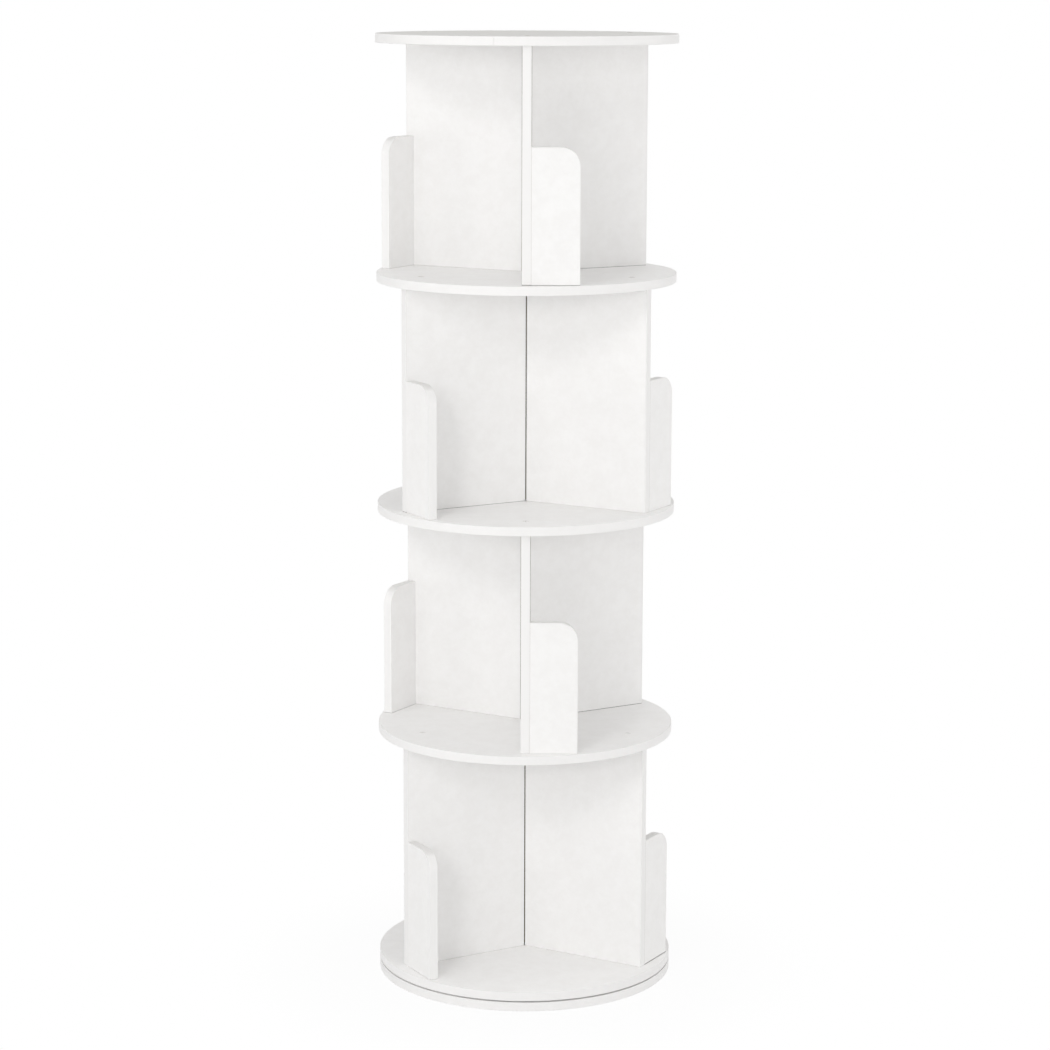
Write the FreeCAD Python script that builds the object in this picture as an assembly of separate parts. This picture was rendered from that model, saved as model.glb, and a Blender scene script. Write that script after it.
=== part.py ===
import FreeCAD, Part
import math
import os

from FreeCAD import Vector

# Revolving bookcase: a four-tier round tower that turns on a fixed base disc.
# Millimetres, +Z up. The origin is the centre of the base disc's underside, and the tower turns about Z.
# Bearings are degrees counter-clockwise from +X, seen from above; the front is -Y, at 270.

# Boards
BOARD = 12.0                 # thickness of every board
DISC_RADIUS = 200.0          # round boards, with their rim strip
STRIP = 1.0                  # plastic strip round the rim
STRIP_ROUND = 0.7            # rounding of the strip's outer corners
STRIP_SEAM = 0.3             # gap between the strip's two ends
ARRIS = 0.4                  # rounding of the edges of uprights and book stops

# Tiers, and the uprights in them
BOTTOM_TIER_HEIGHT = 309.5   # clear heights
LOWER_TIER_HEIGHT = 292.0
UPPER_TIER_HEIGHT = 298.0
TOP_TIER_HEIGHT = 301.5
UPRIGHT_SETBACK = 15.0       # rim of the round boards to an upright's outer edge
CORE_SLIT = 1.4              # slit between the inner edges of two neighbouring uprights

# Book stops
STOP_WIDTH = 62.5            # from the upright's face to the stop's free edge
STOP_HEIGHT = 175.0
STOP_CORNER = 25.0           # rounding of the free top corner

# Countersunk screws
SCREW_RADIUS = 2.0
SCREW_HEAD_RADIUS = 4.0
SCREW_LIP = 0.4              # straight rim of the head, over its cone
SCREW_SINK = 0.2             # head below the surface
SCREW_POINT = 4.0            # length of the pointed end
SCREW_PLAY = 0.2             # round the shank, where it only passes through
SCREW_LENGTH = 40.0          # screws of the uprights and book stops
SCREW_INSET = 26.0           # an upright's outer edge to its screws
CROSS_SPAN = 4.6             # cross recess in the head
CROSS_SLOT = 1.0
CROSS_DEPTH = 1.8
HOLE_SPARE = 0.5             # bottom of a blind hole, beyond what is in it

# Dowels
DOWEL_RADIUS = 4.0           # between a round board and an upright
DOWEL_IN_UPRIGHT = 18.0
DOWEL_REACH = 45.0
STOP_DOWEL_RADIUS = 3.0      # between an upright and its book stop
STOP_DOWEL_IN_STOP = 13.0
STOP_DOWEL_INSET = 40.0      # from the stop's top and from its foot
DOWEL_COVER = 5.0            # board left under a dowel
DOWEL_CHAMFER = 1.0

# Ball bearing between the base disc and the turntable disc
SWIVEL_GAP = 2.0             # between the two discs
POCKET_DEPTH = 3.5           # round pocket in each disc, for the bearing
POCKET_PLAY = 1.0            # round the outer ring
BALL_RADIUS = 3.0
BALL_COUNT = 24
BALL_CIRCLE = 64.0           # radius of the circle that the balls' centres run on
GROOVE_PLAY = 0.05
RING_SPLIT = 2.0             # between the outer ring's wall and the inner ring's
RING_WIDTH = 13.0
RING_LIFT = 1.0              # each ring stops this far short of the other ring's board
RING_SCREW_COUNT = 4
RING_SCREW_INSET = 5.5       # from the ring's plain edge
RING_SCREW_COVER = 1.5       # board left beyond the screw's point
CAGE_WALL = 1.2
CAGE_HEIGHT = 7.0
CAGE_PLAY = 0.1              # round each ball
ACCESS_RADIUS = 6.0          # hole in the base for reaching the inner ring's screws

# Bearings
FRONT_BEARING = 270.0
BACK_BEARING = 90.0
RING_SCREW_BEARING = 45.0    # first screw of each ring


def spread(first, names):
    """Bearing of each name, spaced evenly round the axis."""
    return {name: (first + 360.0 * i / len(names)) % 360 for i, name in enumerate(names)}


# The round boards from the floor up, and the bearing of each one's strip seam
DISCS = (
    ("base_disc", 75.0),
    ("turntable_disc", 130.0),
    ("lower_shelf_disc", 341.0),
    ("middle_shelf_disc", 105.0),
    ("upper_shelf_disc", 60.0),
    ("top_disc", 258.0),
)
# The tiers from the floor up, with their uprights; the first stands on the turntable disc
FRONT_SET = spread(FRONT_BEARING, ("front", "right", "left"))
BACK_SET = spread(BACK_BEARING, ("back", "left", "right"))
TIERS = (
    ("bottom_tier", BOTTOM_TIER_HEIGHT, BACK_SET),
    ("lower_tier", LOWER_TIER_HEIGHT, FRONT_SET),
    ("upper_tier", UPPER_TIER_HEIGHT, BACK_SET),
    ("top_tier", TOP_TIER_HEIGHT, FRONT_SET),
)

# Worked out from the above
UPRIGHT_START = (CORE_SLIT / 2 + BOARD / 2 * math.cos(math.pi / 3)) / math.sin(math.pi / 3)
UPRIGHT_REACH = DISC_RADIUS - UPRIGHT_SETBACK    # axis to an upright's outer edge
SCREW_REACH = UPRIGHT_REACH - SCREW_INSET
DOWEL_IN_FACE = BOARD - DOWEL_COVER
STOP_MIDDLE = UPRIGHT_REACH - BOARD / 2          # axis to a stop's middle plane
STOP_ASIDE = BOARD / 2 + STOP_WIDTH / 2          # upright's middle plane to a stop's centre
RING_HEIGHT = 2 * POCKET_DEPTH + SWIVEL_GAP - RING_LIFT
RING_SCREW_LENGTH = RING_HEIGHT + BOARD - POCKET_DEPTH - RING_SCREW_COVER - SCREW_SINK
OUTER_RING_RADIUS = BALL_CIRCLE + RING_SPLIT / 2 + RING_WIDTH
INNER_RING_RADIUS = BALL_CIRCLE - RING_SPLIT / 2 - RING_WIDTH
POCKET_RADIUS = OUTER_RING_RADIUS + POCKET_PLAY
OUTER_SCREW_CIRCLE = OUTER_RING_RADIUS - RING_SCREW_INSET
INNER_SCREW_CIRCLE = INNER_RING_RADIUS + RING_SCREW_INSET
BALL_LEVEL = BOARD + SWIVEL_GAP / 2
TURNTABLE_LEVEL = BOARD + SWIVEL_GAP

ORIGIN = Vector(0, 0, 0)
AXIS = Vector(0, 0, 1)


# Helpers

def moved(shape, reach=0.0, aside=0.0, level=0.0, bearing=0.0):
    """A copy of shape: out from the axis, aside of its bearing's line, up to a level, then turned."""
    copy = shape.copy()
    copy.translate(Vector(reach, aside, level))
    copy.rotate(ORIGIN, AXIS, bearing)
    return copy


def flipped(shape):
    """A copy of shape turned upside down about the X axis."""
    copy = shape.copy()
    copy.rotate(ORIGIN, Vector(1, 0, 0), 180)
    return copy


def turned_profile(points, angle=360.0):
    """Solid of revolution about Z from (radius, height) points."""
    corners = [Vector(radius, 0, height) for radius, height in points]
    outline = Part.makePolygon(corners + corners[:1])
    return Part.Face(outline).revolve(ORIGIN, AXIS, angle)


def ring_bearings():
    """Bearings of the screws of a bearing ring."""
    return spread(RING_SCREW_BEARING, range(RING_SCREW_COUNT)).values()


def export(name, solids):
    """Write one node: a single solid, or a group of separate ones."""
    shape = Part.makeCompound(solids) if isinstance(solids, list) else solids
    shape.exportStep("parts/" + name + ".step")


# Screws and dowels, with the holes that they need

def screw(length):
    """Countersunk screw that points down from a surface at level 0."""
    top = -SCREW_SINK
    neck = top - SCREW_LIP - (SCREW_HEAD_RADIUS - SCREW_RADIUS)
    body = turned_profile([
        (0, top), (SCREW_HEAD_RADIUS, top), (SCREW_HEAD_RADIUS, top - SCREW_LIP), (SCREW_RADIUS, neck),
        (SCREW_RADIUS, top - length + SCREW_POINT), (0, top - length)])
    half, floor = CROSS_SPAN / 2, top - CROSS_DEPTH
    slot = Part.makeBox(CROSS_SPAN, CROSS_SLOT, CROSS_DEPTH, Vector(-half, -CROSS_SLOT / 2, floor))
    return body.cut([slot, moved(slot, bearing=90)])


def screw_hole(length, through):
    """Its hole: countersunk, loose through the first board and tight in the second."""
    lip = -SCREW_SINK - SCREW_LIP
    loose = SCREW_RADIUS + SCREW_PLAY
    end = -SCREW_SINK - length - HOLE_SPARE
    return turned_profile([
        (0, HOLE_SPARE), (SCREW_HEAD_RADIUS, HOLE_SPARE), (SCREW_HEAD_RADIUS, lip),
        (loose, lip - (SCREW_HEAD_RADIUS - loose)), (loose, -through), (SCREW_RADIUS, -through),
        (SCREW_RADIUS, end), (0, end)])


def dowel(radius, down, up):
    """Chamfered dowel across level 0."""
    edge = radius - DOWEL_CHAMFER
    return turned_profile([
        (0, -down), (edge, -down), (radius, DOWEL_CHAMFER - down),
        (radius, up - DOWEL_CHAMFER), (edge, up), (0, up)])


def dowel_hole(radius, down, up):
    """Its hole in both boards."""
    return Part.makeCylinder(radius, down + up + 2 * HOLE_SPARE, Vector(0, 0, -down - HOLE_SPARE))


def over_uprights(fixing, level, bearings):
    """A fixing that points down, over each upright of the tier below a level."""
    return [moved(fixing, SCREW_REACH, 0, level, bearing) for bearing in bearings]


def under_uprights(fixing, level, bearings):
    """A fixing that points up, under each upright and each book stop of the tier above a level."""
    up = flipped(fixing)
    spots = ((SCREW_REACH, 0.0), (STOP_MIDDLE, STOP_ASIDE))
    return [moved(up, reach, aside, level, bearing) for reach, aside in spots for bearing in bearings]


def upright_dowels(fixing, level, bearings):
    """A dowel or its hole across a level, at each upright's inner end."""
    return [moved(fixing, DOWEL_REACH, 0, level, bearing) for bearing in bearings]


def stop_dowels(radius, into_face, into_stop, maker):
    """Two dowels or their holes from a face of the upright at bearing 0 into its book stop."""
    lying = maker(radius, into_face, into_stop)
    lying.rotate(ORIGIN, Vector(1, 0, 0), -90)
    heights = (STOP_DOWEL_INSET, STOP_HEIGHT - STOP_DOWEL_INSET)
    return [moved(lying, STOP_MIDDLE, BOARD / 2, height) for height in heights]


def foot_dowel(maker):
    """Dowel or hole at an upright's foot: down into the disc, up into the upright."""
    return maker(DOWEL_RADIUS, DOWEL_IN_FACE, DOWEL_IN_UPRIGHT)


def head_dowel(maker):
    """Dowel or hole at an upright's top: down into the upright, up into the disc."""
    return maker(DOWEL_RADIUS, DOWEL_IN_UPRIGHT, DOWEL_IN_FACE)


# Boards

def plain_disc(level, seam_bearing):
    """Round board without its strip; the start line of its rim lies under the strip's seam."""
    return moved(Part.makeCylinder(DISC_RADIUS - STRIP, BOARD), level=level, bearing=seam_bearing)


def rim_strip(level, seam_bearing):
    """Plastic strip round a board's rim, with rounded outer corners and one fine seam."""
    inner, outer = DISC_RADIUS - STRIP, DISC_RADIUS
    corner = min(STRIP_ROUND, 0.8 * STRIP)
    bulge = corner * math.sqrt(0.5)
    low, high = level + corner, level + BOARD - corner

    def spot(radius, height):
        return Vector(radius, 0, height)

    edges = [
        Part.LineSegment(spot(inner, level), spot(outer - corner, level)).toShape(),
        Part.Arc(spot(outer - corner, level), spot(outer - corner + bulge, low - bulge),
                 spot(outer, low)).toShape(),
        Part.LineSegment(spot(outer, low), spot(outer, high)).toShape(),
        Part.Arc(spot(outer, high), spot(outer - corner + bulge, high + bulge),
                 spot(outer - corner, level + BOARD)).toShape(),
        Part.LineSegment(spot(outer - corner, level + BOARD), spot(inner, level + BOARD)).toShape(),
        Part.LineSegment(spot(inner, level + BOARD), spot(inner, level)).toShape(),
    ]
    seam = math.degrees(STRIP_SEAM / DISC_RADIUS)
    strip = Part.Face(Part.Wire(edges)).revolve(ORIGIN, AXIS, 360 - seam)
    return moved(strip, bearing=seam_bearing + seam / 2)


def base_disc(seam_bearing):
    """Fixed board on the floor, with the bearing's pocket in its top and one access hole."""
    pocket = Part.makeCylinder(POCKET_RADIUS, POCKET_DEPTH, Vector(0, 0, BOARD - POCKET_DEPTH))
    access = Part.makeCylinder(ACCESS_RADIUS, BOARD)
    holes = [pocket, moved(access, INNER_SCREW_CIRCLE, bearing=RING_SCREW_BEARING)]
    holes += outer_ring_fixings(screw_hole(RING_SCREW_LENGTH, RING_HEIGHT))
    return plain_disc(0, seam_bearing).cut(holes)


def turning_disc(index, level, seam_bearing):
    """Round board of the tower, drilled for the tier over it and the tier under it."""
    holes = []
    hole = screw_hole(SCREW_LENGTH, BOARD)
    if index <= len(TIERS):
        bearings = TIERS[index - 1][2].values()
        holes += under_uprights(hole, level, bearings)
        holes += upright_dowels(foot_dowel(dowel_hole), level + BOARD, bearings)
    if index >= 2:
        bearings = TIERS[index - 2][2].values()
        holes += over_uprights(hole, level + BOARD, bearings)
        holes += upright_dowels(head_dowel(dowel_hole), level, bearings)
    else:
        holes.append(Part.makeCylinder(POCKET_RADIUS, POCKET_DEPTH, Vector(0, 0, level)))
        holes += inner_ring_fixings(screw_hole(RING_SCREW_LENGTH, RING_HEIGHT))
    return plain_disc(level, seam_bearing).cut(holes)


def disc_screws(index, level):
    """All the screws that pass through one round board of the tower."""
    one = screw(SCREW_LENGTH)
    screws = []
    if index <= len(TIERS):
        screws += under_uprights(one, level, TIERS[index - 1][2].values())
    if index >= 2:
        screws += over_uprights(one, level + BOARD, TIERS[index - 2][2].values())
    return screws


def upright(height):
    """Upright board at bearing 0, its foot at level 0. Its edges are rounded, but not at the axis."""
    board = Part.makeBox(UPRIGHT_REACH - UPRIGHT_START, BOARD, height,
                         Vector(UPRIGHT_START, -BOARD / 2, 0))
    outer = [edge for edge in board.Edges if edge.CenterOfMass.x > UPRIGHT_START + ARRIS]
    board = board.makeFillet(ARRIS, outer)
    hole = screw_hole(SCREW_LENGTH, BOARD)
    holes = [
        moved(flipped(hole), SCREW_REACH, level=-BOARD),
        moved(hole, SCREW_REACH, level=height + BOARD),
        moved(foot_dowel(dowel_hole), DOWEL_REACH),
        moved(head_dowel(dowel_hole), DOWEL_REACH, level=height),
    ]
    holes += stop_dowels(STOP_DOWEL_RADIUS, DOWEL_IN_FACE, STOP_DOWEL_IN_STOP, dowel_hole)
    return board.cut(holes)


def book_stop():
    """Book stop of the upright at bearing 0: it stands across the upright's outer end, on its left."""
    inside = UPRIGHT_REACH - BOARD
    face = BOARD / 2
    free = face + STOP_WIDTH
    board = Part.makeBox(BOARD, STOP_WIDTH, STOP_HEIGHT, Vector(inside, face, 0))
    corner = [edge for edge in board.Edges
              if abs(edge.CenterOfMass.y - free) < ARRIS and abs(edge.CenterOfMass.z - STOP_HEIGHT) < ARRIS]
    board = board.makeFillet(STOP_CORNER, corner)
    outline = [edge for edge in board.Edges
               if edge.BoundBox.XLength < ARRIS or edge.CenterOfMass.z < ARRIS
               or edge.CenterOfMass.y < face + ARRIS]
    board = board.makeFillet(ARRIS, outline)
    hole = moved(flipped(screw_hole(SCREW_LENGTH, BOARD)), STOP_MIDDLE, STOP_ASIDE, -BOARD)
    return board.cut([hole] + stop_dowels(STOP_DOWEL_RADIUS, DOWEL_IN_FACE, STOP_DOWEL_IN_STOP, dowel_hole))


# Ball bearing

def outer_ring_fixings(fixing):
    """A downward fixing in each screw hole of the outer ring."""
    top = BOARD - POCKET_DEPTH + RING_HEIGHT
    return [moved(fixing, OUTER_SCREW_CIRCLE, 0, top, bearing) for bearing in ring_bearings()]


def inner_ring_fixings(fixing):
    """An upward fixing in each screw hole of the inner ring."""
    foot = TURNTABLE_LEVEL + POCKET_DEPTH - RING_HEIGHT
    return [moved(flipped(fixing), INNER_SCREW_CIRCLE, 0, foot, bearing) for bearing in ring_bearings()]


def ring(inner, outer, level):
    """Flat ring that stands on a level."""
    bore = Part.makeCylinder(inner, RING_HEIGHT, Vector(0, 0, level))
    return Part.makeCylinder(outer, RING_HEIGHT, Vector(0, 0, level)).cut(bore)


def ball_groove():
    """The round groove that the balls run in, shared by the two rings."""
    return Part.makeTorus(BALL_CIRCLE, BALL_RADIUS + GROOVE_PLAY, Vector(0, 0, BALL_LEVEL))


def outer_ring():
    """Ring screwed down into the base disc's pocket."""
    body = ring(BALL_CIRCLE + RING_SPLIT / 2, OUTER_RING_RADIUS, BOARD - POCKET_DEPTH)
    return body.cut([ball_groove()] + outer_ring_fixings(screw_hole(RING_SCREW_LENGTH, RING_HEIGHT)))


def inner_ring():
    """Ring screwed up into the turntable disc's pocket."""
    foot = TURNTABLE_LEVEL + POCKET_DEPTH - RING_HEIGHT
    body = ring(INNER_RING_RADIUS, BALL_CIRCLE - RING_SPLIT / 2, foot)
    return body.cut([ball_groove()] + inner_ring_fixings(screw_hole(RING_SCREW_LENGTH, RING_HEIGHT)))


def ball_places(shape):
    """A copy of shape at each ball's centre."""
    bearings = spread(0, range(BALL_COUNT)).values()
    return [moved(shape, BALL_CIRCLE, 0, BALL_LEVEL, bearing) for bearing in bearings]


def ball_cage():
    """Thin hoop between the two rings that spaces the balls."""
    foot = Vector(0, 0, BALL_LEVEL - CAGE_HEIGHT / 2)
    hoop = Part.makeCylinder(BALL_CIRCLE + CAGE_WALL / 2, CAGE_HEIGHT, foot)
    bore = Part.makeCylinder(BALL_CIRCLE - CAGE_WALL / 2, CAGE_HEIGHT, foot)
    window = Part.makeCylinder(BALL_RADIUS + CAGE_PLAY, 2 * CAGE_WALL, Vector(-CAGE_WALL, 0, 0),
                               Vector(1, 0, 0))
    return hoop.cut([bore] + ball_places(window))


# The whole bookcase

def disc_levels():
    """Level of each round board's underside, from the floor up."""
    levels = [0.0, TURNTABLE_LEVEL]
    for name, height, bearings in TIERS:
        levels.append(levels[-1] + BOARD + height)
    return levels


def build_discs(levels):
    """Round boards with their strips and screws."""
    for index, (name, seam_bearing) in enumerate(DISCS):
        level = levels[index]
        if index == 0:
            export(name, base_disc(seam_bearing))
        else:
            export(name, turning_disc(index, level, seam_bearing))
            export(name + "_screws", disc_screws(index, level))
        export(name + "_strip", rim_strip(level, seam_bearing))


def build_tiers(levels):
    """Uprights, book stops and dowels of each tier."""
    for index, (tier, height, uprights) in enumerate(TIERS):
        foot = levels[index + 1] + BOARD
        pins = stop_dowels(STOP_DOWEL_RADIUS, DOWEL_IN_FACE, STOP_DOWEL_IN_STOP, dowel)
        for side, bearing in uprights.items():
            export(tier + "_" + side + "_upright", moved(upright(height), level=foot, bearing=bearing))
            export(tier + "_" + side + "_book_stop", moved(book_stop(), level=foot, bearing=bearing))
        bearings = uprights.values()
        export(tier + "_upright_dowels", upright_dowels(foot_dowel(dowel), foot, bearings)
               + upright_dowels(head_dowel(dowel), foot + height, bearings))
        export(tier + "_book_stop_dowels",
               [moved(pin, level=foot, bearing=bearing) for pin in pins for bearing in bearings])


def build_bearing():
    """Ball bearing between the base disc and the turntable disc."""
    ring_screw = screw(RING_SCREW_LENGTH)
    export("bearing_outer_ring", outer_ring())
    export("bearing_inner_ring", inner_ring())
    export("bearing_outer_ring_screws", outer_ring_fixings(ring_screw))
    export("bearing_inner_ring_screws", inner_ring_fixings(ring_screw))
    export("bearing_balls", ball_places(Part.makeSphere(BALL_RADIUS)))
    export("bearing_ball_cage", ball_cage())


os.makedirs("parts", exist_ok=True)
build_discs(disc_levels())
build_tiers(disc_levels())
build_bearing()
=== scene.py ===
import math

import bpy
from mathutils import Matrix, Vector


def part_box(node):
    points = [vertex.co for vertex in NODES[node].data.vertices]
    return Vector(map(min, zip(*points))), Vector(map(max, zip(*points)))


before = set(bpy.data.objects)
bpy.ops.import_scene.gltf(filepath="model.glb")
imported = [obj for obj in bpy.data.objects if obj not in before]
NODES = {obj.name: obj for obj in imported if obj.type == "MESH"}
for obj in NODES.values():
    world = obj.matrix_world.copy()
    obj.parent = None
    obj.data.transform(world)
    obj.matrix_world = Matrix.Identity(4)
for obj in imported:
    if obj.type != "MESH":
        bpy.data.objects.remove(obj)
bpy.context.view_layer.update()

# Revolving bookcase in white film-faced board: its finishes, the studio and the camera.
# Metres, +Z up; the front is -Y and the tower turns about Z. Bearings are degrees counter-clockwise
# from +X, seen from above.

MM = 0.001

# The bookcase's own sizes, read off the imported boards
DISC_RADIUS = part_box("base_disc")[1].x                # round boards, inside their rim strip
UPRIGHT_REACH = -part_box("top_tier_front_upright")[0].y
STOP_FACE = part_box("top_tier_front_book_stop")[0].x   # where a book stop meets its upright
STOP_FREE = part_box("top_tier_front_book_stop")[1].x   # its free edge
STOP_CORNER = 25 * MM                                 # radius of its rounded top corner
TOWER_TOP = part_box("top_disc")[1].z

DISCS = ("base_disc", "turntable_disc", "lower_shelf_disc", "middle_shelf_disc",
         "upper_shelf_disc", "top_disc")
RINGS = ("bearing_outer_ring", "bearing_inner_ring")

# Bearings of a tier's uprights; every other tier is turned by half a turn
BACK_SET = {"back": 90, "left": 210, "right": 330}
FRONT_SET = {"front": 270, "right": 30, "left": 150}
TIERS = {"bottom_tier": BACK_SET, "lower_tier": FRONT_SET,
         "upper_tier": BACK_SET, "top_tier": FRONT_SET}


# Shader maths

class Value:
    """A socket whose value varies over a surface. Arithmetic on it adds Math nodes."""

    def __init__(self, nodes, socket):
        self.nodes = nodes
        self.socket = socket

    def maths(self, operation, *others):
        return self.nodes.node("ShaderNodeMath", {"operation": operation}, (self, *others))

    def __add__(self, other):
        return self.maths("ADD", other)

    def __sub__(self, other):
        return self.maths("SUBTRACT", other)

    def __rsub__(self, other):
        return self.nodes.node("ShaderNodeMath", {"operation": "SUBTRACT"}, (other, self))

    def __mul__(self, other):
        return self.maths("MULTIPLY", other)

    def __abs__(self):
        return self.maths("ABSOLUTE")

    __radd__ = __add__
    __rmul__ = __mul__

    def at_least(self, other):
        return self.maths("MAXIMUM", other)

    def at_most(self, other):
        return self.maths("MINIMUM", other)

    def rises(self, low, high):
        """Mask that goes smoothly from 0 at low to 1 at high."""
        return self.nodes.node("ShaderNodeMapRange", {"interpolation_type": "SMOOTHSTEP"},
                                {"Value": self, "From Min": low, "From Max": high})

    def past(self, place, blur):
        """Mask that goes from 0 to 1 at a place, blurred that far to either side."""
        return self.rises(place - blur, place + blur)

    def near(self, place, width):
        """Mask that is 1 at a place and fades to 0 a width away from it."""
        return 1 - abs(self - place).rises(0, width)


class Nodes:
    """The nodes of a material or of the world."""

    def __init__(self, tree):
        self.tree = tree

    def node(self, kind, settings=None, inputs=(), output=0):
        """Add a node, with its settings first and then its sockets; the result is one of its outputs."""
        node = self.tree.nodes.new(kind)
        for name, setting in (settings or {}).items():
            setattr(node, name, setting)
        for name, value in inputs.items() if isinstance(inputs, dict) else enumerate(inputs):
            self.feed(node.inputs[name], value)
        return Value(self, node.outputs[output])

    def feed(self, socket, value):
        if isinstance(value, Value):
            self.tree.links.new(value.socket, socket)
        else:
            socket.default_value = value

    def split(self, vector):
        return [self.node("ShaderNodeSeparateXYZ", inputs=[vector], output=i) for i in range(3)]

    def vector(self, x, y, z):
        return self.node("ShaderNodeCombineXYZ", inputs=[x, y, z])

    def mix(self, mask, under, over):
        """One colour over another, by a mask."""
        return self.node("ShaderNodeMix", {"data_type": "RGBA"}, {0: mask, 6: under, 7: over}, output=2)


class Finish(Nodes):
    """A material under construction: a Principled shader, and where a point lies and faces."""

    def __init__(self, name):
        self.material = bpy.data.materials.new(name)
        self.material.use_nodes = True
        super().__init__(self.material.node_tree)
        self.shader = self.tree.nodes["Principled BSDF"]
        self.place = self.node("ShaderNodeTexCoord", output="Object")
        self.x, self.y, self.z = self.split(self.place)
        self.facing = self.split(self.node("ShaderNodeTexCoord", output="Normal"))
        self.radius = hypotenuse(self.x, self.y)

    def noise(self, size, detail=2, rough=0.55, at=None):
        """Soft noise about 0.5, with features of a size in metres; rough is the finer layers' share."""
        return self.node("ShaderNodeTexNoise", inputs={
            "Vector": at or self.place, "Scale": 1 / size, "Detail": detail, "Roughness": rough})

    def bump(self, height, depth):
        """Normal of a surface that a 0 to 1 height raises by a depth in metres."""
        return self.node("ShaderNodeBump", inputs={"Height": height, "Strength": 1, "Distance": depth})

    def finished(self, **sockets):
        """Feed the shader's sockets, named with underscores for spaces, and give the material."""
        for name, value in sockets.items():
            self.feed(self.shader.inputs[name.replace("_", " ")], value)
        return self.material


def hypotenuse(a, b):
    return (a * a + b * b).maths("SQRT")


def along(bearing, x, y):
    """How far something reaches along a bearing."""
    turn = math.radians(bearing)
    return x * math.cos(turn) + y * math.sin(turn)


def left_of(bearing, x, y):
    """How far something reaches to the left of a bearing."""
    turn = math.radians(bearing)
    return y * math.cos(turn) - x * math.sin(turn)


def paint(red, green, blue):
    """Linear colour of an 8-bit screen colour."""
    def linear(value):
        share = value / 255
        return share / 12.92 if share <= 0.04045 else ((share + 0.055) / 1.055) ** 2.4
    return linear(red), linear(green), linear(blue), 1


def levels(name):
    """Heights of a piece's lower and upper end."""
    low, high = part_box(name)
    return low.z, high.z


def wear(name, material):
    """Give a CAD node its finish."""
    for slot in NODES[name].material_slots:
        slot.material = material


# Finishes

WHITE = paint(247, 246.5, 246)
CLOUD = paint(243.6, 242.8, 242)
BAND = paint(243, 242.4, 241.8)
STRIP_CLOUD = paint(241, 240.3, 239.6)
GLUE = paint(214, 211, 205)
CHIP_PALE = paint(150, 130, 102)
CHIP_DARK = paint(92, 74, 54)
# White lacquer, painted a little lighter than the boards to offset the shade in screw recesses
LIGHTENED_LACQUER = paint(251, 251, 250)
# Painted shade for screw recesses
RECESS_SHADE = paint(150, 147, 140)
# Painted shade, grey, on faces that look up
TOP_SHADE = paint(217, 216, 213)
JOINT_SHADE = paint(62, 59, 54)
ZINC = (paint(206, 207, 206), paint(188, 189, 190))
ALUMINIUM = (paint(196, 198, 200), paint(216, 217, 218))
BALL_STEEL = (paint(214, 214, 216), paint(190, 186, 172))
NYLON = (paint(226, 222, 208), paint(214, 208, 190))
BEECH = (paint(214, 178, 132), paint(186, 144, 98))

BLOTCHES = (0.3, 0.7)                                 # noise levels between which a blotch fades in
BAND_THICK = 1 * MM                                   # edge band round uprights and book stops
BAND_BLUR = 0.1 * MM
GLUE_LINE = 0.2 * MM                                  # beside the edge band
GLUE_SHOWS = 0.5                                      # how far a glue line takes the glue's colour
RIM_GLUE = 0.25 * MM                                  # how far inside the rim strip its glue shows
RIM_GLUE_BLUR = 0.15 * MM
FILM_REACH = 0.7 * MM                                 # level faces sunk deeper than this are bare
FILM_BLUR = 0.1 * MM
LACQUER_REACH = 2.2 * MM                              # a screw is lacquered down to here
LACQUER_BLUR = 0.1 * MM
RECESS = (0.5 * MM, 1.2 * MM)                         # depths between which painted shade sets in inside a screw's recess
STOP_JOINT = 0.1 * MM                                 # a book stop's bare end on its upright
JOINT_BLUR = 0.05 * MM

# How squarely a surface faces a way, as the two cosines between which a finish sets in
FACES_UP = (0.7, 0.95)
BOARD_FACE = (0.7, 0.9)
SAWN_END = (0.45, 0.75)
SAWN_CORE = (0.6, 0.8)

# Painted shade on faces that look up: its share on book stops' tops, and on the boards named
STOP_TOP_SHADE = 0.45
BOARD_TOP_SHADE = {"top_disc": 1}
# Painted shade in the recesses of these screws' heads, as a share
SCREW_RECESS_SHADE = {"middle_shelf_disc_screws": 0.8}

# Painted shade lines at boards' feet, for joints that show open though the boards meet the disc, and the
# height that each one's dark line shows, in millimetres
SHADED_FEET = {"top_tier_front_upright": 0.7, "top_tier_front_book_stop": 0.5,
             "top_tier_right_upright": 0.38, "upper_tier_left_upright": 0.4,
             "lower_tier_right_upright": 0.55, "lower_tier_left_book_stop": 0.33,
             "bottom_tier_left_upright": 0.1, "bottom_tier_left_book_stop": 0.26,
             "bottom_tier_right_book_stop": 0.9}


def film(f):
    """White paper film, with faint clouds in its print."""
    return f.mix(f.noise(22 * MM, detail=3, rough=0.9).rises(*BLOTCHES), WHITE, CLOUD)


def shade_tops(f, colour, share):
    """Painted shade: a thin grey bloom that darkens whatever faces up."""
    bloom = (0.55 + f.noise(9 * MM, detail=4, rough=0.7) * 0.7) * share
    return f.mix(f.facing[2].rises(*FACES_UP) * bloom, colour, TOP_SHADE)


def over_foot_shade(f, name, colour):
    """Painted shade: the dark line of an open joint along a board's foot, where the board itself meets the
    disc.
    """
    if name not in SHADED_FEET:
        return colour
    line = levels(name)[0] + SHADED_FEET[name] * MM
    return f.mix(f.z.past(line, JOINT_BLUR), JOINT_SHADE, colour)


def satin(f, colour):
    """A board's finish in a colour, with the film's dull gloss and its fine pearl texture."""
    return f.finished(Base_Color=colour, Roughness=0.5 + f.noise(60 * MM) * 0.1, Specular_IOR_Level=0.2,
                      Normal=f.bump(f.noise(1.3 * MM), 0.02 * MM))


def chipboard(f):
    """Cut chipboard: pale and dark chips a few millimetres long."""
    chips = f.noise(2.2 * MM, detail=3)
    return f.mix(chips.rises(0.35, 0.65), CHIP_DARK, CHIP_PALE)


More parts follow.
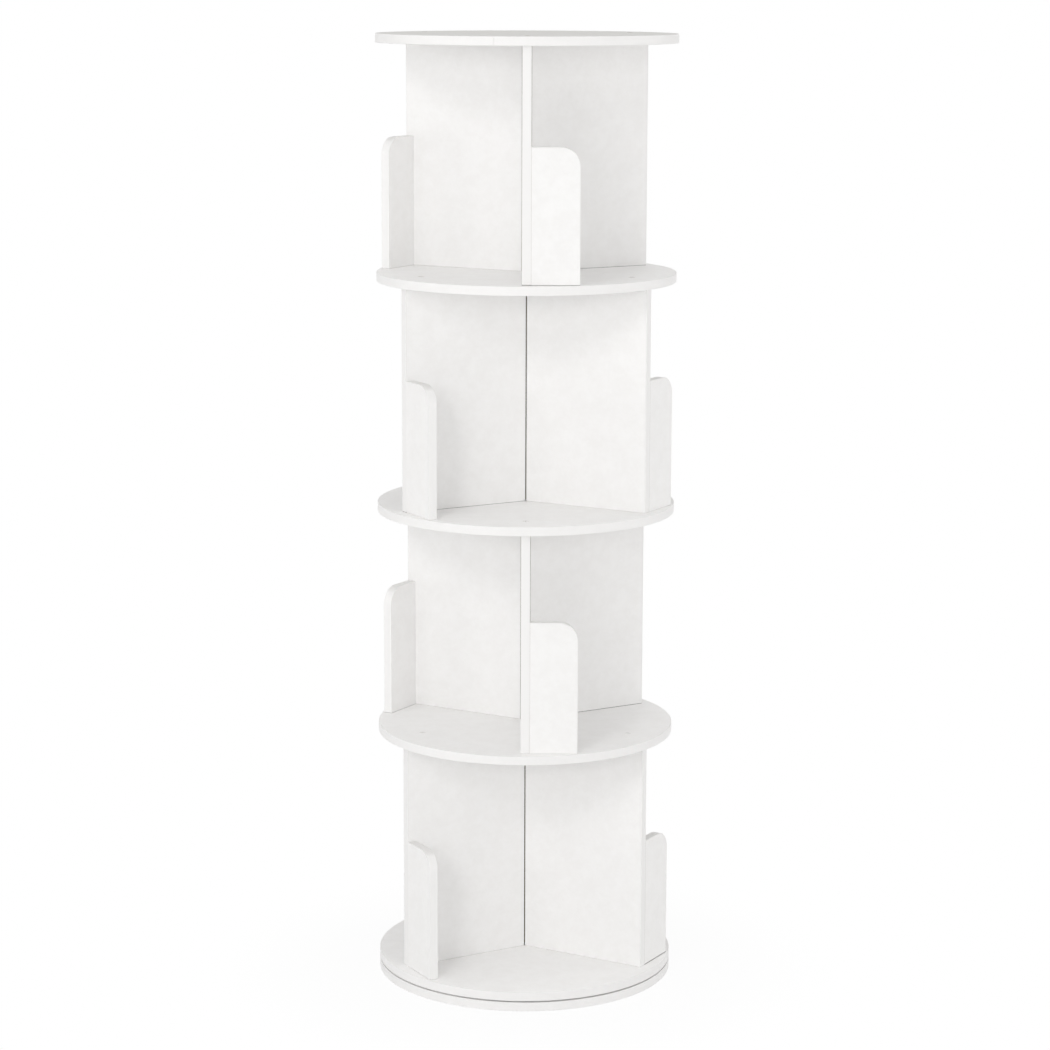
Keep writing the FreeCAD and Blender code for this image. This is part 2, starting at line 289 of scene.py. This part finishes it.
def upright_finish(name, bearing):
    """Film on the two wide faces, edge band on the outer edge, bare chipboard where it is sawn."""
    f = Finish(name + "_board")
    reach = along(bearing, f.x, f.y)
    outward = along(bearing, f.facing[0], f.facing[1])
    band_starts = UPRIGHT_REACH - BAND_THICK
    band = reach.past(band_starts, BAND_BLUR)
    seam = reach.near(band_starts, GLUE_LINE)
    sawn = abs(f.facing[2]).rises(*SAWN_END).at_least((0 - outward).rises(*SAWN_CORE))
    colour = f.mix(band, film(f), BAND)
    colour = f.mix(seam * GLUE_SHOWS, colour, GLUE)
    colour = f.mix(sawn, colour, chipboard(f))
    # Painted shade line along the foot, on the boards listed
    return satin(f, over_foot_shade(f, name, colour))


def book_stop_finish(name, bearing):
    """As an upright, with the edge band round the top and the free side."""
    f = Finish(name + "_board")
    aside = left_of(bearing, f.x, f.y)
    past_corner = (aside - (STOP_FREE - STOP_CORNER)).at_least(0)
    over_corner = (f.z - (levels(name)[1] - STOP_CORNER)).at_least(0)
    inset = STOP_CORNER - hypotenuse(past_corner, over_corner)
    band = 1 - inset.past(BAND_THICK, BAND_BLUR)
    seam = inset.near(BAND_THICK, GLUE_LINE)
    joint = 1 - aside.past(STOP_FACE + STOP_JOINT, JOINT_BLUR)
    sawn = (0 - f.facing[2]).rises(*SAWN_END).at_least(joint)
    colour = f.mix(band, film(f), BAND)
    # Painted shade on the book stop's top edge
    colour = shade_tops(f, f.mix(seam * GLUE_SHOWS, colour, GLUE), STOP_TOP_SHADE)
    colour = f.mix(sawn, colour, chipboard(f))
    # Painted shade line along the foot, on the boards listed
    return satin(f, over_foot_shade(f, name, colour))


def round_board_finish(name):
    """Film on the two faces, a glue line inside the rim strip, bare chipboard in the holes."""
    low, high = levels(name)
    f = Finish(name + "_board")
    depth = (f.z - low).at_most(high - f.z)
    filmed = abs(f.facing[2]).rises(*BOARD_FACE) * (1 - depth.past(FILM_REACH, FILM_BLUR))
    seam = f.radius.past(DISC_RADIUS - RIM_GLUE, RIM_GLUE_BLUR)
    colour = film(f)
    # Painted shade on the top board's upper face
    if name in BOARD_TOP_SHADE:
        colour = shade_tops(f, colour, BOARD_TOP_SHADE[name])
    colour = f.mix(filmed, chipboard(f), colour)
    colour = f.mix(seam * GLUE_SHOWS, colour, GLUE)
    return satin(f, colour)


def strip_finish():
    """White plastic rim strip, drawn smooth, with fine lines round the rim."""
    f = Finish("rim_strip_plastic")
    lines = f.noise(0.35 * MM, detail=1, at=f.vector(f.radius * 0.3, f.z, 0))
    colour = f.mix(f.noise(24 * MM, detail=4, rough=0.9).rises(*BLOTCHES), BAND, STRIP_CLOUD)
    return f.finished(Base_Color=colour, Roughness=0.4 + f.noise(15 * MM) * 0.08, Specular_IOR_Level=0.25,
                      Normal=f.bump(lines, 0.006 * MM))


def screw_finish(name, low, high):
    """Zinc-plated screws whose heads, at one of two levels, are lacquered white, painted a little lighter
    than the boards to offset the shade in their recesses; some have painted shade in their recesses.
    """
    f = Finish(name + "_zinc")
    depth = abs(f.z - high).at_most(abs(f.z - low))
    zinc = f.mix(f.noise(0.8 * MM).rises(*BLOTCHES), *ZINC)
    bare = depth.past(LACQUER_REACH, LACQUER_BLUR)
    # White lacquer, painted a little lighter than the boards to offset the recess's shade
    head = LIGHTENED_LACQUER
    # Painted shade in the recess of these screws
    if name in SCREW_RECESS_SHADE:
        head = f.mix(depth.rises(*RECESS) * SCREW_RECESS_SHADE[name], LIGHTENED_LACQUER, RECESS_SHADE)
    return f.finished(Base_Color=f.mix(bare, head, zinc), Metallic=bare,
                      Roughness=0.3 + f.noise(1.5 * MM) * 0.15)


def ring_finish(name):
    """Turned aluminium bearing ring, with fine lathe lines."""
    f = Finish(name + "_aluminium")
    lines = f.noise(0.25 * MM, detail=1, at=f.vector(f.radius, f.z, 0))
    return f.finished(Base_Color=f.mix(lines, *ALUMINIUM), Metallic=1.0, Roughness=0.3 + lines * 0.15,
                      Normal=f.bump(lines, 0.01 * MM))


def ball_finish():
    """Polished bearing steel, with a greasy bloom."""
    f = Finish("ball_steel")
    bloom = f.noise(2 * MM, detail=3).rises(0.4, 0.7)
    return f.finished(Base_Color=f.mix(bloom, *BALL_STEEL), Metallic=1.0, Roughness=0.07 + bloom * 0.15)


def cage_finish():
    """Natural nylon, milky, with faint flow marks from its mould."""
    f = Finish("cage_nylon")
    flow = f.noise(6 * MM, detail=3).rises(0.35, 0.65)
    return f.finished(Base_Color=f.mix(flow, *NYLON), Roughness=0.4 + flow * 0.15,
                      Subsurface_Weight=0.2, Subsurface_Radius=(2 * MM,) * 3)


def dowel_finish(name, lying):
    """Beech dowels, with the grain along them."""
    f = Finish(name + "_beech")
    grain_at = f.vector(f.x * 0.3, f.y * 0.3, f.z) if lying else f.vector(f.x, f.y, f.z * 0.08)
    grain = f.noise(0.9 * MM, detail=3, at=grain_at)
    return f.finished(Base_Color=f.mix(grain.rises(*BLOTCHES), *BEECH), Roughness=0.6,
                      Normal=f.bump(grain, 0.05 * MM))


def finish_boards():
    plastic = strip_finish()
    for name in DISCS:
        wear(name, round_board_finish(name))
        wear(name + "_strip", plastic)
    for tier, sides in TIERS.items():
        for side, bearing in sides.items():
            upright, stop = [tier + "_" + side + kind for kind in ("_upright", "_book_stop")]
            wear(upright, upright_finish(upright, bearing))
            wear(stop, book_stop_finish(stop, bearing))


def finish_fittings():
    for name in DISCS[1:]:                            # the base disc has no screws of its own
        wear(name + "_screws", screw_finish(name + "_screws", *levels(name)))
    for name in RINGS:
        wear(name, ring_finish(name))
        wear(name + "_screws", screw_finish(name + "_screws", *levels(name + "_screws")))
    wear("bearing_balls", ball_finish())
    wear("bearing_ball_cage", cage_finish())
    for tier in TIERS:
        wear(tier + "_upright_dowels", dowel_finish(tier + "_upright_dowels", lying=False))
        wear(tier + "_book_stop_dowels", dowel_finish(tier + "_book_stop_dowels", lying=True))


# Studio

FLOOR_SIZE = 60
FLOOR_DROP = 0.2 * MM                                 # keeps the floor off the base's own underside
FLOOR_PAPER = paint(238, 238, 238)
FLOOR_FADE = (0.21, 0.45)                             # radii between which its shade ends
FLOOR_GLOW = 0.94                                     # share of plain white that shows under the tower
LAMP_AIM = Vector((0, 0, 0.6))
LAMP_AWAY = 6
PURE_WHITE = (1, 1, 1, 1)
TINT = (1.0, 0.996, 0.989, 1)                         # of the lamps and the sky
ZENITH = 1.0                                          # light from overhead; none from the horizon

# Bearing, elevation, side of the square lamp and level: the share of a plain level that it gives
LAMPS = {
    "key": (245, 30, 1.3, 0.122),
    "low_key": (250, 12, 1.3, 0.107),
    "left_front": (220, 12, 1.3, 0.056),
    "left": (182, 8, 2.6, 0.111),
    "front": (275, 12, 1.3, 0.072),
    "right_front": (300, 8, 2.6, 0.094),
    "right": (358, 8, 2.6, 0.078),
    "right_back": (15, 8, 2.6, 0.132),
    "back": (90, 25, 4.0, 0.02),
}

CAMERA_AWAY = 3.9095                                  # in front of the tower's axis
CAMERA_OVER = 0.0749                                  # over the top board
CAMERA_TIP = 9.900                                    # degrees down
CAMERA_LEAN = 0.169                                   # degrees sideways
CAMERA_LENS = 100.750                                 # millimetres, as is the sensor's width
CAMERA_SENSOR = 36
CAMERA_SHIFT = (-0.00077, -0.035)                     # sideways and upwards, as shares of the frame
CAMERA_SIGHT = 200                                    # takes in the whole floor


def add_lamp(name, bearing, elevation, side, level):
    """Square soft lamp aimed at the tower; a level of 1 lights a facing surface to its written colour."""
    light = bpy.data.lights.new(name + "_lamp", "AREA")
    light.size = side
    light.energy = level * (math.pi * LAMP_AWAY) ** 2
    light.color = TINT[:3]
    lamp = bpy.data.objects.new(name + "_lamp", light)
    turn = math.radians(bearing)
    climb = math.radians(elevation)
    away = Vector((math.cos(turn) * math.cos(climb), math.sin(turn) * math.cos(climb), math.sin(climb)))
    lamp.location = LAMP_AIM + away * LAMP_AWAY
    lamp.rotation_euler = away.to_track_quat("Z", "Y").to_euler()
    bpy.context.collection.objects.link(lamp)


def seen_rays(f):
    """1 for what the camera sees, also in gloss and through glass; 0 for light on the tower."""
    kinds = ("Is Camera Ray", "Is Glossy Ray", "Is Transmission Ray")
    camera, gloss, glass = [f.node("ShaderNodeLightPath", output=kind) for kind in kinds]
    return camera.at_least(gloss).at_least(glass)


def add_sky():
    """Pale room light that grows towards the zenith, and looks plain white."""
    world = bpy.data.worlds.new("studio")
    bpy.context.scene.world = world
    world.use_nodes = True
    f = Nodes(world.node_tree)
    rise = f.split(f.node("ShaderNodeTexCoord", output="Generated"))[2].at_least(0)
    background = world.node_tree.nodes["Background"]
    f.feed(background.inputs["Color"], f.mix(seen_rays(f), TINT, PURE_WHITE))
    f.feed(background.inputs["Strength"], (rise * ZENITH).at_least(seen_rays(f)))


def floor_finish():
    """Pale paper that looks lit to plain white a little way from the tower."""
    f = Finish("floor_paper")
    f.finished(Base_Color=FLOOR_PAPER, Roughness=0.9, Specular_IOR_Level=0.1)
    paper = Value(f, f.shader.outputs[0])
    glow = f.node("ShaderNodeEmission", inputs={"Color": PURE_WHITE, "Strength": 1})
    share = FLOOR_GLOW + f.radius.rises(*FLOOR_FADE) * (1 - FLOOR_GLOW)
    shown = f.node("ShaderNodeMixShader", inputs={0: seen_rays(f) * share, 1: paper, 2: glow})
    f.feed(f.tree.nodes["Material Output"].inputs["Surface"], shown)
    return f.material


def add_floor():
    """Plain pale floor that fades to white and keeps the tower's shadow."""
    corners = [Vector((x, y, 0)) * FLOOR_SIZE / 2 for x, y in ((-1, -1), (1, -1), (1, 1), (-1, 1))]
    mesh = bpy.data.meshes.new("floor")
    mesh.from_pydata(corners, [], [(0, 1, 2, 3)])
    mesh.materials.append(floor_finish())
    floor = bpy.data.objects.new("floor", mesh)
    floor.location.z = -FLOOR_DROP
    bpy.context.collection.objects.link(floor)


def add_camera():
    """A little over the top board, in front of the tower and slightly tipped down."""
    camera = bpy.data.cameras.new("camera")
    camera.sensor_width = CAMERA_SENSOR
    camera.lens = CAMERA_LENS
    camera.shift_x, camera.shift_y = CAMERA_SHIFT
    camera.clip_end = CAMERA_SIGHT
    eye = bpy.data.objects.new("camera", camera)
    tip = Matrix.Rotation(math.radians(90 - CAMERA_TIP), 4, "X")
    lean = Matrix.Rotation(math.radians(CAMERA_LEAN), 4, "Z")
    eye.matrix_world = Matrix.Translation((0, -CAMERA_AWAY, TOWER_TOP + CAMERA_OVER)) @ tip @ lean
    bpy.context.collection.objects.link(eye)
    bpy.context.scene.camera = eye


finish_boards()
finish_fittings()
for lamp_name, places in LAMPS.items():
    add_lamp(lamp_name, *places)
add_sky()
add_floor()
add_camera()
bpy.context.scene.view_settings.view_transform = "Standard"
